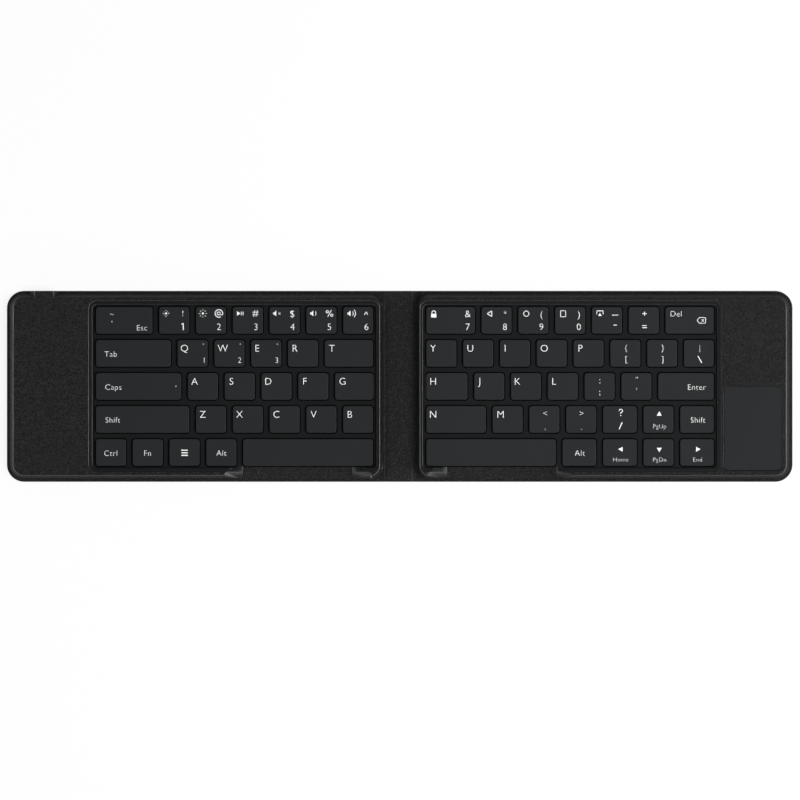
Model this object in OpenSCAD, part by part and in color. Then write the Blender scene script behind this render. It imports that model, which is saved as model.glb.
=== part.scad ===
// Folding keyboard: two stiff halves in one leather wrap, joined by a leather spine
// that bends along two creases. Millimetres. The open keyboard lies flat on z = 0, the
// origin is under the middle of the spine, +X runs to the user's right and +Y away
// from the user. The halves fold up over the spine until deck faces deck.

/* [Key caps] */
// Width of a plain key cap
cap_w = 13.06; // [12:0.02:16]
// Depth of every key cap, front to back
cap_d = 11.7; // [11:0.1:15]
// Bare strip between two caps of a row
cap_gap = 2.94; // [2.4:0.02:4]
// Bare strip between two rows
row_gap = 2.67; // [2.4:0.01:4]
// Corner radius of a cap
cap_r = 1.2; // [0.9:0.1:1.6]
// How far a cap's wall leans in up to its shoulder
cap_lean = 0.12; // [0:0.02:0.2]
// Bevel round the top of a cap
cap_bevel = 0.35; // [0.2:0.05:0.5]
// Thickness of a cap's roof
roof_t = 0.9; // [0.7:0.1:1.2]
// Thickness of a cap's side walls
cap_wall = 0.8; // [0.6:0.1:0.9]
// How far the side walls hang below the roof
skirt_h = 1.4; // [1.1:0.1:1.5]
// Travel of a key
travel = 1.2; // [0.8:0.1:1.3]
// Air left under the side walls of a pressed cap
press_gap = 0.4; // [0.3:0.1:0.6]
// How far the top of a pressed cap still stands above the web
proud = 0.3; // [0.2:0.1:0.5]

/* [Thickness] */
// Thickness of each leather skin
skin_t = 0.5; // [0.4:0.05:0.6]
// Thickness of the base tray's floor
tray_t = 0.8; // [0.7:0.1:1.2]
// Thickness of the steel backplate under the switches
backplate_t = 0.4; // [0.3:0.1:0.6]
// Thickness of the switch membrane
membrane_t = 0.3; // [0.2:0.05:0.4]
// How far the cap tops stay below the deck
cap_drop = 0.7; // [0.5:0.1:1]
// Thickness of the top frame's plate under the deck skin
plate_t = 1; // [0.8:0.1:1.2]

/* [Top frame] */
// Gap between a cap and the edge of its well
well_gap = 0.45; // [0.35:0.05:0.6]
// Thickness of the web
web_t = 1.5; // [1.2:0.1:1.6]
// Sunk strip of web between the caps and the ledge at the ends of the rows
moat_w = 1.5; // [1.2:0.1:2]
// Sunk strip of web in front of the caps and behind them
moat_front_w = 1; // [0.8:0.1:1.5]
// Width of the plastic ledge that frames the keys
ledge_w = 1.55; // [1.3:0.05:2]
// How far the ledge lies below the deck
ledge_drop = 0.35; // [0.25:0.05:0.45]
// Round on the ledge's inner edge
ledge_r = 0.2; // [0.1:0.05:0.3]
// Corner radius of the window in the deck skin
window_r = 3.5; // [3:0.1:4.5]
// Running gap between parts that drop into each other
fit_gap = 0.15; // [0.1:0.05:0.25]

/* [Leather wrap] */
// Corner radius of the outline
corner_r = 7.5; // [6.5:0.5:9]
// Width of the hem where the two skins are bonded
hem_w = 1.2; // [1:0.1:1.6]
// Width of the slope between the hem and the edge of the deck
slope_w = 1.4; // [1.2:0.1:1.6]
// Round on the edge of the deck
crest_r = 0.5; // [0.4:0.1:0.7]
// Round on the edge of an opening in the deck skin
rim_r = 0.25; // [0.15:0.05:0.3]
// Deck strip in front of the window and behind it
strip_w = 1.78; // [1:0.02:3]
// Width of the leather ridge between the window and the spine
ridge_w = 0.5; // [0.4:0.1:0.7]
// Corner radius of a half beside the spine
ridge_r = 4.5; // [4:0.5:6]

/* [Spine] */
// Height of the crease lines, about which the leather bends
crease_z = 0.65; // [0.6:0.05:0.75]
// Air between the two decks when the keyboard is closed
closed_gap = 0.4; // [0.3:0.1:1]
// Flat leather between a crease and the foot of a half
foot_w = 0.95; // [0.95:0.05:1.5]
// Slit that stands for the bend in the leather at a crease
crease_slit = 0.1; // [0.06:0.02:0.16]
// Thickness of the stiffeners in the spine
board_t = 0.3; // [0.25:0.05:0.35]
// Bare leather between a stiffener and the crease beside it
board_margin = 1; // [0.8:0.1:1.5]
// Width of the ribbon cable
ribbon_w = 10; // [6:0.5:14]
// Thickness of the ribbon cable
ribbon_t = 0.2; // [0.1:0.05:0.2]

/* [Thumb scoops] */
// Width of the flat of a scoop
scoop_w = 47.6; // [40:0.2:48]
// Cap wall beside the flat, at the spine end of the space bar
scoop_inset = 9.05; // [8:0.05:10]
// Width of the ramp at each end of the flat
ramp_w = 6.5; // [4:0.5:7]
// Height of the flat beside the space bar
scoop_z = 3.4; // [3.4:0.1:3.6]
// Height of the flat's outer edge above the hem
scoop_lip = 0.3; // [0.2:0.1:0.6]

/* [Touchpad] */
// Width of the touchpad
pad_w = 25; // [22:0.5:40]
// Depth of the touchpad
pad_d = 36.4; // [30:0.2:50]
// Corner radius of the touchpad
pad_r = 2; // [1:0.5:4]
// Leather between the window and the touchpad
pad_inner_gap = 1.4; // [1.2:0.1:4]
// Leather between the touchpad and the outer edge of the deck
pad_outer_gap = 2.2; // [2:0.1:5]
// Leather between the touchpad and the front edge of the deck
pad_front_gap = 2.4; // [2:0.1:5]
// Thickness of the touchpad's cover
pad_t = 0.9; // [0.7:0.1:1]
// How far the touchpad lies below the leather
pad_drop = 0.1; // [0.05:0.05:0.2]

/* [Electronics] */
// Width of the main board
board_w = 21; // [18:0.5:22]
// Depth of the main board
board_d = 22; // [16:0.5:24]
// Thickness of the circuit boards
pcb_t = 0.8; // [0.6:0.1:1]
// Room between the battery and the main board behind it
battery_gap = 4.8; // [2:0.2:14]
// Width of the battery
battery_w = 22; // [16:1:22]
// Thickness of the battery
battery_t = 3.4; // [2.8:0.1:3.5]
// Distance of the charging port's middle from the outer edge
port_inset = 16.2; // [14:0.1:17]
// Width of the charging port's shell
port_w = 8.94; // [8.9:0.01:9]
// Height of the charging port's shell
port_h = 3.16; // [3.1:0.01:3.2]
// Length of the charging port
port_l = 7.3; // [6.5:0.1:9]
// Wall of the charging port's shell
port_wall = 0.3; // [0.25:0.05:0.3]
// Width of the port's housing at the deck
housing_top_w = 7.4; // [7:0.1:8]
// Width of the port's housing at the hem
housing_base_w = 12.2; // [12:0.1:13]
// Diameter of the closing magnets
magnet_dia = 5; // [4:0.5:6]
// Thickness of the closing magnets
magnet_t = 1.5; // [1:0.1:2]

/* [Hidden] */
$fn = 48;
over = 1;          // overshoot of every cut
corner_facets = 32; // facets round a post of the leather form
cap_facets = 16;    // facets round a corner of a cap
LEFT = -1;
RIGHT = 1;

// Key widths of each row from left to right, in key pitches, back row first
LEFT_ROWS = [
    [1.72, 1, 1, 1, 1, 1, 1],
    [2.22, 1, 1, 1, 1, 1.5],
    [2.5, 1, 1, 1, 1, 1.22],
    [2.72, 1, 1, 1, 1, 1],
    [1, 1, 1, 1, 3.72]
];
RIGHT_ROWS = [
    [1.5, 1, 1, 1, 1, 1, 1.5],
    [1, 1, 1, 1, 1, 1, 1, 1],
    [1.3, 1, 1, 1, 1, 1, 1.7],
    [1.8, 1, 1, 1, 1.1, 1, 1.1],
    [3.7, 1.1, 1.1, 1, 1.1]
];

function sum_to(v, n) = n == 0 ? 0 : v[n - 1] + sum_to(v, n - 1);
function rows(side) = side == LEFT ? LEFT_ROWS : RIGHT_ROWS;

// Key grid
key_pitch = cap_w + cap_gap;
row_pitch = cap_d + row_gap;
row_count = len(LEFT_ROWS);
field_half = ((row_count - 1) * row_pitch + cap_d) / 2;

// Stack, from the table up. A switch fills the room from the membrane to the cap's roof.
switch_h = skirt_h + travel + press_gap;
tray_z = skin_t;
tray_top = tray_z + tray_t;
membrane_z = tray_top + backplate_t;
switch_z = membrane_z + membrane_t;
roof_z = switch_z + switch_h;
cap_top = roof_z + roof_t;
deck_z = cap_top + cap_drop;
skirt_z = roof_z - skirt_h;
web_top = cap_top - travel - proud;
web_z = web_top - web_t;
hem_top = 2 * skin_t;
plate_top = deck_z - skin_t;
plate_z = plate_top - plate_t;

// Distances from the middle of the spine outwards, the same on both halves
crease_u = (2 * (deck_z - crease_z) + closed_gap) / 2;
foot_u = crease_u + foot_w;
crest_u = foot_u + slope_w;
window_u = crest_u + ridge_w;
keys_u = crest_u + ledge_w + moat_w;
frame_w = ledge_w + moat_w;
function keys_end(side) = keys_u + sum_to(rows(side)[0], len(rows(side)[0])) * key_pitch - cap_gap;
pad_u = keys_end(RIGHT) + frame_w + pad_inner_gap;
half_w = pad_u + pad_w + pad_outer_gap + slope_w + hem_w;

// Distances from the middle line to the front and the back
moat_half = field_half + moat_front_w;
window_half = moat_half + ledge_w;
depth_half = window_half + strip_w + slope_w + hem_w;
foot_half = depth_half - hem_w;
moat_r = window_r - ledge_w;

// Charging port
port_u = half_w - port_inset;
port_z = (tray_top + plate_z) / 2;

// ---------- shared shapes ----------

// Puts what is drawn at u = x on the left or the right half
module on_side(side) {
    if (side == LEFT) mirror([1, 0, 0]) children();
    else children();
}

// Flat shape from u0 to u1 with round corners: r0 at the u0 end and r1 at the u1 end
module rounded(u0, u1, half_d, r0, r1) {
    translate([u0 + r0, -half_d]) square([u1 - r1 - u0 - r0, 2 * half_d]);
    if (r0 > 0) {
        translate([u0, r0 - half_d]) square([r0, 2 * (half_d - r0)]);
        for (s = [-1, 1]) translate([u0 + r0, s * (half_d - r0)]) circle(r0);
    }
    if (r1 > 0) {
        translate([u1 - r1, r1 - half_d]) square([r1, 2 * (half_d - r1)]);
        for (s = [-1, 1]) translate([u1 - r1, s * (half_d - r1)]) circle(r1);
    }
}

// A slab of a flat shape between two heights
module slab(z0, z1) {
    translate([0, 0, z0]) linear_extrude(z1 - z0) children();
}

// A prism along Y of a profile drawn in (u, z)
module along_y(y0, y1) {
    translate([0, y1, 0]) rotate([90, 0, 0]) linear_extrude(y1 - y0) children();
}

// Where the leather form starts. The form drawn in by inset is a cut, so it starts lower.
function form_z(inset) = inset > 0 ? tray_z - over : tray_z;

// Profile of a turned corner post of the leather form: hem, slope and rounded crest
function post_profile(r, inset) = concat(
    [[0, form_z(inset)], [r - inset, form_z(inset)], [r - inset, hem_top]],
    [for (a = [0:30:90]) [
        r - inset - slope_w - crest_r * (1 - cos(a)),
        deck_z - inset - crest_r * (1 - sin(a))
    ]],
    [[0, deck_z - inset]]
);

module post(u, y, r, inset) {
    translate([u, y, 0]) rotate_extrude($fn = corner_facets) polygon(post_profile(r, inset));
}

// The raised block of a half, drawn in by inset on every side
module block(inset) {
    outer_r = corner_r - hem_w;
    spine_r = ridge_r + slope_w;
    hull() for (s = [-1, 1]) {
        post(foot_u + spine_r, s * (foot_half - spine_r), spine_r, inset);
        post(half_w - hem_w - outer_r, s * (foot_half - outer_r), outer_r, inset);
    }
}

// The raised housing that carries the charging port out to the edge
module port_housing(inset) {
    base = housing_base_w / 2 - inset;
    top = housing_top_w / 2 - inset;
    translate([port_u, 0, 0]) along_y(foot_half - corner_r, depth_half - inset)
        polygon(concat(
            [[-base, hem_top], [-base, form_z(inset)], [base, form_z(inset)], [base, hem_top]],
            [for (a = [0:30:90])
                [top + crest_r * cos(a), deck_z - inset - crest_r * (1 - sin(a))]],
            [for (a = [90:-30:0])
                [-top - crest_r * cos(a), deck_z - inset - crest_r * (1 - sin(a))]]
        ));
}

// What a thumb scoop takes away. The floor falls towards the hem, the ends are ramps.
module scoop_cut(drop, ramp) {
    floor_y = field_half + well_gap;
    fall = atan((scoop_z - hem_top - scoop_lip) / (foot_half - floor_y));
    rise = deck_z - scoop_z;
    u = keys_u + scoop_inset + scoop_w / 2;
    half = scoop_w / 2;
    translate([u, -floor_y, scoop_z - drop]) rotate([fall, 0, 0])
        along_y(-2 * frame_w - strip_w - slope_w - hem_w, well_gap)
            polygon([
                [-half, 0], [half, 0],
                [half + 2 * ramp, 2 * rise], [-half - 2 * ramp, 2 * rise]
            ]);
}

// The whole form of a half above the cover skin
module half_form(side, inset) {
    difference() {
        union() {
            block(inset);
            if (side == LEFT) port_housing(inset);
        }
        scoop_cut(inset, ramp_w);
    }
}

// Outline of the plastic that frames the keys
module full_window_2d(side, grow = 0) {
    rounded(window_u - grow, keys_end(side) + frame_w + grow, window_half + grow,
            window_r + grow, window_r + grow);
}

// What is taken off the top edge of an opening: its outline, then the same grown by r
module rim_cut(z, r) {
    hull() {
        slab(z - r, z) children(0);
        slab(z, z + over) children(1);
    }
}

// Outline of the window in the deck skin. The leather runs in to the space bar at the scoop.
module window_2d(side) {
    difference() {
        full_window_2d(side);
        translate([keys_u + scoop_inset, -window_half - over])
            square([scoop_w, window_half + over - field_half - well_gap]);
    }
}

module moat_2d(side, grow) {
    rounded(keys_u - moat_w - grow, keys_end(side) + moat_w + grow, moat_half + grow,
            moat_r + grow, moat_r + grow);
}

// What is taken off above a crease so that the fold can close. The edge at u keeps its
// lower corner, and the material lies on the side that away points to.
module crease_bevel(u, away) {
    reach = hem_top + board_t;
    along_y(-depth_half - over, depth_half + over)
        polygon([
            [u - away * over, crease_z], [u, crease_z],
            [u + away * reach, crease_z + reach], [u - away * over, crease_z + reach]
        ]);
}

module pad_2d(grow) {
    front = -(foot_half - slope_w - pad_front_gap) - grow;
    translate([0, front + pad_d / 2 + grow])
        rounded(pad_u - grow, pad_u + pad_w + grow, pad_d / 2 + grow, pad_r + grow, pad_r + grow);
}

// ---------- keys ----------

function row_y(row) = ((row_count - 1) / 2 - row) * row_pitch;
function row_x(side) = side == LEFT ? -keys_end(LEFT) : keys_u;
function key_x(side, row, i) = row_x(side) + sum_to(rows(side)[row], i) * key_pitch;
function key_w(side, row, i) = rows(side)[row][i] * key_pitch - cap_gap;
function key_mid(side, row, i) = key_x(side, row, i) + key_w(side, row, i) / 2;

// One cap, drawn about its middle
module cap(w) {
    shoulder = cap_top - cap_bevel;
    post_r = cap_r - cap_lean;
    difference() {
        hull() for (sx = [-1, 1], sy = [-1, 1])
            translate([sx * (w / 2 - cap_r), sy * (cap_d / 2 - cap_r), 0]) {
                translate([0, 0, skirt_z])
                    cylinder(h = shoulder - skirt_z, r1 = cap_r, r2 = post_r, $fn = cap_facets);
                translate([0, 0, shoulder])
                    cylinder(h = cap_bevel, r1 = post_r, r2 = post_r - cap_bevel, $fn = cap_facets);
            }
        slab(skirt_z - over, roof_z)
            square([w - 2 * cap_wall, cap_d - 2 * cap_wall], center = true);
    }
}

// The caps first to last of a row
module caps(side, row, first, last) {
    color("dimgray") for (i = [first:last])
        translate([key_mid(side, row, i), row_y(row), 0]) cap(key_w(side, row, i));
}

// Calls its children at each key's middle, with $key_w set to the key's width
module at_keys(side) {
    for (row = [0:row_count - 1], i = [0:len(rows(side)[row]) - 1]) {
        $key_w = key_w(side, row, i);
        translate([key_mid(side, row, i), row_y(row), 0]) children();
    }
}

module esc_key() { caps(LEFT, 0, 0, 0); }
module keys_1_to_6() { caps(LEFT, 0, 1, 6); }
module tab_key() { caps(LEFT, 1, 0, 0); }
module keys_q_to_r() { caps(LEFT, 1, 1, 4); }
module key_t() { caps(LEFT, 1, 5, 5); }
module caps_key() { caps(LEFT, 2, 0, 0); }
module keys_a_to_f() { caps(LEFT, 2, 1, 4); }
module key_g() { caps(LEFT, 2, 5, 5); }
module left_shift_key() { caps(LEFT, 3, 0, 0); }
module keys_z_to_b() { caps(LEFT, 3, 1, 5); }
module ctrl_key() { caps(LEFT, 4, 0, 0); }
module fn_key() { caps(LEFT, 4, 1, 1); }
module menu_key() { caps(LEFT, 4, 2, 2); }
module left_alt_key() { caps(LEFT, 4, 3, 3); }
module left_space_bar() { caps(LEFT, 4, 4, 4); }
module key_7() { caps(RIGHT, 0, 0, 0); }
module keys_8_to_equals() { caps(RIGHT, 0, 1, 5); }
module backspace_key() { caps(RIGHT, 0, 6, 6); }
module keys_y_to_backslash() { caps(RIGHT, 1, 0, 7); }
module key_h() { caps(RIGHT, 2, 0, 0); }
module keys_j_to_quote() { caps(RIGHT, 2, 1, 5); }
module enter_key() { caps(RIGHT, 2, 6, 6); }
module key_n() { caps(RIGHT, 3, 0, 0); }
module keys_m_to_period() { caps(RIGHT, 3, 1, 3); }
module slash_key() { caps(RIGHT, 3, 4, 4); }
module up_key() { caps(RIGHT, 3, 5, 5); }
module right_shift_key() { caps(RIGHT, 3, 6, 6); }
module right_space_bar() { caps(RIGHT, 4, 0, 0); }
module right_alt_key() { caps(RIGHT, 4, 1, 1); }
module left_arrow_key() { caps(RIGHT, 4, 2, 2); }
module down_arrow_key() { caps(RIGHT, 4, 3, 3); }
module right_arrow_key() { caps(RIGHT, 4, 4, 4); }

// ---------- switches ----------

scissor_w = 9.4;       // width of a switch's outer link
link_bar = 0.7;        // thickness of the links
link_gap = 0.25;       // side play between the two links
rest_gap = 0.05;       // play between a switch and the cap on it
end_gap = 0.5;         // play between the ends of a link and the cap's walls
link_l = cap_d - 2 * (cap_wall + end_gap);
long_key = 3;          // pitches from which a key gets two scissors
dome_rim_r = 2.6;      // radius of a rubber dome's rim
dome_base_r = 2.2;     // radius of the dome at its foot
dome_top_r = 1.3;      // radius of the plunger on top of the dome
dome_rim_h = 0.25;     // height of the rim
plunger_h = 0.6;       // height of the plunger

// One link of a scissor: a frame tilted about the pivot in its middle, towards +Y or -Y
module link(w, way) {
    rotate([way * asin((switch_h - 2 * rest_gap - link_bar) / link_l), 0, 0])
        difference() {
            cube([w, link_l, link_bar], center = true);
            cube([w - 2 * link_bar, link_l - 2 * link_bar, link_bar + over], center = true);
        }
}

module scissor() {
    inner_w = scissor_w - 2 * (link_bar + link_gap);
    pivot_l = 2 * link_gap + link_bar;
    translate([0, 0, switch_z + switch_h / 2]) {
        link(scissor_w, 1);
        link(inner_w, -1);
        for (s = [-1, 1])
            translate([s * (inner_w + link_gap) / 2, 0, 0])
                rotate([0, 90, 0])
                    cylinder(h = pivot_l, r = link_bar / 2 - rest_gap, center = true);
    }
}

module dome() {
    translate([0, 0, switch_z]) {
        cylinder(h = dome_rim_h, r = dome_rim_r);
        cylinder(h = switch_h - plunger_h, r1 = dome_base_r, r2 = dome_top_r);
        translate([0, 0, switch_h - plunger_h])
            cylinder(h = plunger_h - rest_gap, r = dome_top_r);
    }
}

module scissors(side) {
    color("gainsboro") at_keys(side) {
        is_long = $key_w > long_key * key_pitch;
        for (x = is_long ? [-$key_w / 4, $key_w / 4] : [0])
            translate([x, 0, 0]) scissor();
    }
}

module domes(side) {
    color("whitesmoke") at_keys(side) dome();
}

module left_scissors() { scissors(LEFT); }
module right_scissors() { scissors(RIGHT); }
module left_domes() { domes(LEFT); }
module right_domes() { domes(RIGHT); }

// ---------- ribbon cable and membrane tails ----------

ribbon_rise_u = foot_u + skin_t + fit_gap;
ribbon_top_u = window_u + fit_gap;
ribbon_end_u = keys_u + cap_wall;
tail_w = 8;            // width of a membrane's tail
left_tail_y = 24;      // middle of the tail under the main board

// The ribbon's run over the spine, its rise through each half's wall and its ends on the
// membranes, made thicker and wider by grow where it is a cut
module ribbon_form(grow) {
    run = [
        [-ribbon_end_u, switch_z], [-ribbon_top_u, switch_z],
        [-ribbon_rise_u, tray_z], [ribbon_rise_u, tray_z],
        [ribbon_top_u, switch_z], [ribbon_end_u, switch_z]
    ];
    low = [for (p = run) [p[0], p[1] - grow]];
    high = [for (i = [len(run) - 1:-1:0]) [run[i][0], run[i][1] + ribbon_t + grow]];
    along_y(-ribbon_w / 2 - grow, ribbon_w / 2 + grow) polygon(concat(low, high));
}

module ribbon_cable() { color("darkgoldenrod") ribbon_form(0); }

function tail_y(side) = side == LEFT ? left_tail_y : pad_y;
function tail_end(side) = side == LEFT ? main_board_u + tail_lap : pad_u + tail_lap;

module tail_2d(side, grow) {
    u = keys_end(side);
    translate([u, tail_y(side) - tail_w / 2 - grow])
        square([tail_end(side) - u, tail_w + 2 * grow]);
}

// ---------- the leather ----------

module cover_skin(side) {
    color("#262626") on_side(side) slab(0, skin_t)
        rounded(crease_u + crease_slit / 2, half_w, depth_half, 0, corner_r);
}

module deck_skin(side) {
    color("#2b2b2b") on_side(side) difference() {
        union() {
            slab(tray_z, hem_top)
                rounded(crease_u + crease_slit / 2, half_w, depth_half, 0, corner_r);
            half_form(side, 0);
        }
        half_form(side, skin_t);
        slab(hem_top, deck_z + over) window_2d(side);
        slab(plate_z, deck_z + over) full_window_2d(side);
        rim_cut(deck_z, rim_r) {
            full_window_2d(side);
            full_window_2d(side, rim_r);
        }
        crease_bevel(crease_u + crease_slit / 2, 1);
        ribbon_form(ribbon_t / 2);
        if (side == LEFT) port_mouth(fit_gap);
        if (side == RIGHT) {
            slab(plate_z, deck_z + over) pad_2d(fit_gap);
            rim_cut(deck_z, rim_r) {
                pad_2d(fit_gap);
                pad_2d(fit_gap + rim_r);
            }
        }
    }
}

module left_cover_skin() { cover_skin(LEFT); }
module right_cover_skin() { cover_skin(RIGHT); }
module left_deck_skin() { deck_skin(LEFT); }
module right_deck_skin() { deck_skin(RIGHT); }

spine_half_w = crease_u - crease_slit / 2;

module spine_2d(half_w, half_d) {
    square([2 * half_w, 2 * half_d], center = true);
}

module spine_cover_skin() {
    color("#262626") slab(0, skin_t) spine_2d(spine_half_w, depth_half);
}

module spine_inner_skin() {
    color("#262626") difference() {
        slab(tray_z, hem_top + board_t) spine_2d(spine_half_w, depth_half);
        slab(tray_z - over, tray_z + board_t) {
            spine_2d(crease_u - board_margin, foot_half);
            spine_2d(crease_u + over, ribbon_w / 2 + fit_gap);
        }
        crease_bevel(spine_half_w, -1);
        crease_bevel(-spine_half_w, 1);
    }
}

module spine_boards() {
    front = ribbon_w / 2 + fit_gap;
    color("gray") for (s = [-1, 1])
        translate([0, s * (front + foot_half) / 2, 0]) slab(tray_z, tray_z + board_t)
            spine_2d(crease_u - board_margin, (foot_half - front) / 2);
}

// ---------- the plastic shells ----------

tray_wall = 1;         // thickness of the base tray's outer wall
pocket_r = 2;          // corner radius of the pocket beside the keys
pocket_end = half_w - hem_w - slope_w - skin_t - tray_wall;
pocket_half = foot_half - slope_w - skin_t - tray_wall;
boss_h = 1;            // height of the bosses under the main board
boss_r = 1.5;
rib_t = 1.2;           // thickness of the ribs under the touchpad

// The space inside a half's walls, keys and side pocket together
module inside_2d(side) {
    full_window_2d(side);
    rounded(keys_end(side), pocket_end, pocket_half, 0, pocket_r);
}

module base_tray(side) {
    color("#1c1c1c") on_side(side) {
        difference() {
            intersection() {
                half_form(side, skin_t);
                slab(tray_z, plate_z) rounded(0, half_w, depth_half, 0, 0);
            }
            slab(tray_top, plate_z + over) inside_2d(side);
            ribbon_form(ribbon_t / 2);
            if (side == LEFT) port_mouth(fit_gap);
        }
        if (side == LEFT) board_bosses();
        if (side == RIGHT) pad_ribs();
    }
}

// The bosses stand in front of the charging port
module board_bosses() {
    for (u = [boss_r, board_w - boss_r], y = [main_board_y + boss_r, port_y - fit_gap - boss_r])
        translate([main_board_u + u, y, tray_top]) cylinder(h = boss_h, r = boss_r);
}

module pad_ribs() {
    for (s = [-1, 1])
        slab(tray_top, pad_board_z)
            translate([pad_u + pad_edge, pad_y + s * pad_d / 3 - rib_t / 2])
                square([pad_w - 2 * pad_edge, rib_t]);
}

module key_wells(side) {
    at_keys(side) slab(web_z - over, web_top + over)
        rounded(-$key_w / 2 - well_gap, $key_w / 2 + well_gap, cap_d / 2 + well_gap,
                cap_r + well_gap, cap_r + well_gap);
}

module top_frame(side) {
    color("#1f1f1f") difference() {
        on_side(side) difference() {
            union() {
                difference() {
                    intersection() {
                        half_form(side, skin_t);
                        slab(plate_z, deck_z) rounded(0, half_w, depth_half, 0, 0);
                    }
                    slab(plate_z - over, deck_z + over) full_window_2d(side);
                }
                slab(tray_top, deck_z - ledge_drop) full_window_2d(side);
            }
            slab(tray_top - over, web_z) moat_2d(side, 0);
            slab(web_top, deck_z + over) moat_2d(side, 0);
            rim_cut(deck_z - ledge_drop, ledge_r) {
                moat_2d(side, 0);
                moat_2d(side, ledge_r);
            }
            scoop_cut(0, ramp_w);
            scoop_cut(skin_t, 0);
            ribbon_form(ribbon_t / 2);
            slab(tray_top - over, switch_z + ribbon_t + fit_gap) tail_2d(side, fit_gap);
            if (side == RIGHT) slab(plate_z - over, deck_z + over) pad_2d(fit_gap);
        }
        key_wells(side);
    }
}

module left_base_tray() { base_tray(LEFT); }
module right_base_tray() { base_tray(RIGHT); }
module left_top_frame() { top_frame(LEFT); }
module right_top_frame() { top_frame(RIGHT); }

module backplate(side) {
    color("silver") on_side(side) slab(tray_top, membrane_z) moat_2d(side, -fit_gap);
}

module membrane(side) {
    color("darkseagreen") on_side(side) slab(membrane_z, switch_z) {
        moat_2d(side, -fit_gap);
        tail_2d(side, 0);
    }
}

module left_backplate() { backplate(LEFT); }
module right_backplate() { backplate(RIGHT); }
module left_membrane() { membrane(LEFT); }
module right_membrane() { membrane(RIGHT); }

// ---------- electronics ----------

board_edge = 2;        // board beside the charging port
tail_lap = 2;          // how far a tail reaches under what it serves
bay_gap = 1;           // room between the pocket's wall and what lies in it
main_board_u = port_u + port_w / 2 + board_edge - board_w;
main_board_y = pocket_half - bay_gap - board_d;
main_board_z = tray_top + boss_h;
port_y = depth_half - port_l - fit_gap;

module stadium(w, h) {
    square([w - h, h], center = true);
    for (s = [-1, 1]) translate([s * (w - h) / 2, 0]) circle(h / 2);
}

// The channel for the charging port, open to the back
module port_mouth(grow) {
    translate([port_u, 0, port_z]) along_y(port_y - over, depth_half + over)
        stadium(port_w + 2 * grow, port_h + 2 * grow);
}

module main_board() {
    // where each chip stands on the board, and its size
    chips = [
        [[4, 5], [5, 5, 0.9]], [[12, 4], [4, 3, 0.8]],
        [[5, 13], [3.2, 2.5, 0.7]], [[11, 11], [6, 4, 1.2]]
    ];
    color("darkgreen") on_side(LEFT) {
        slab(main_board_z, main_board_z + pcb_t) difference() {
            translate([main_board_u, main_board_y]) square([board_w, board_d]);
            translate([port_u - port_w / 2 - fit_gap, port_y - fit_gap])
                square([port_w + 2 * fit_gap, board_d]);
        }
        translate([main_board_u, main_board_y, main_board_z + pcb_t])
            for (c = chips) translate(c[0]) cube(c[1]);
    }
}

module usb_c_port() {
    back_t = 1;
    tongue_w = 6.7;
    tongue_t = 0.7;
    tongue_short = 1.2;
    color("silver") on_side(LEFT) translate([port_u, 0, port_z]) {
        along_y(port_y, port_y + back_t) stadium(port_w, port_h);
        along_y(port_y, port_y + port_l) difference() {
            stadium(port_w, port_h);
            stadium(port_w - 2 * port_wall, port_h - 2 * port_wall);
        }
        along_y(port_y, port_y + port_l - tongue_short) square([tongue_w, tongue_t], center = true);
    }
}

// The battery takes what the main board leaves of the side pocket, beside the magnets
module battery() {
    pouch_r = 1;
    battery_d = main_board_y - battery_gap + pocket_half - bay_gap;
    u = pocket_end - magnet_gap - magnet_dia - bay_gap - battery_w;
    color("lightsteelblue") on_side(LEFT)
        translate([0, bay_gap + battery_d / 2 - pocket_half, 0]) slab(tray_top, tray_top + battery_t)
            rounded(u, u + battery_w, battery_d / 2, pouch_r, pouch_r);
}

magnet_ys = [5.5, 31]; // where the closing magnets sit behind the middle line
magnet_gap = 0.3;      // play between a magnet and the pocket's wall

module magnets(side) {
    u = pocket_end - magnet_dia / 2 - magnet_gap;
    color("lightgray") on_side(side) for (y = magnet_ys)
        translate([u, y, plate_z - magnet_t]) cylinder(h = magnet_t, d = magnet_dia);
}

module left_magnets() { magnets(LEFT); }
module right_magnets() { magnets(RIGHT); }

pad_edge = 1;          // how far the touchpad's cover overhangs its board
pad_z = deck_z - pad_drop - pad_t;
pad_board_z = pad_z - pcb_t;
pad_y = -(foot_half - slope_w - pad_front_gap) + pad_d / 2;

module touchpad() {
    color("#303234") slab(pad_z, pad_z + pad_t) pad_2d(0);
}

module touchpad_board() {
    color("darkgreen") slab(pad_board_z, pad_z) pad_2d(-pad_edge);
}

module touchpad_cable() {
    start = pad_u - tail_lap;
    run = [
        [start, switch_z], [start + 2 * tail_lap, switch_z],
        [start + 3 * tail_lap, pad_board_z - ribbon_t], [start + 5 * tail_lap, pad_board_z - ribbon_t]
    ];
    high = [for (i = [len(run) - 1:-1:0]) run[i] + [0, ribbon_t]];
    color("darkgoldenrod") along_y(pad_y - tail_w / 2, pad_y + tail_w / 2)
        polygon(concat(run, high));
}

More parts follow.
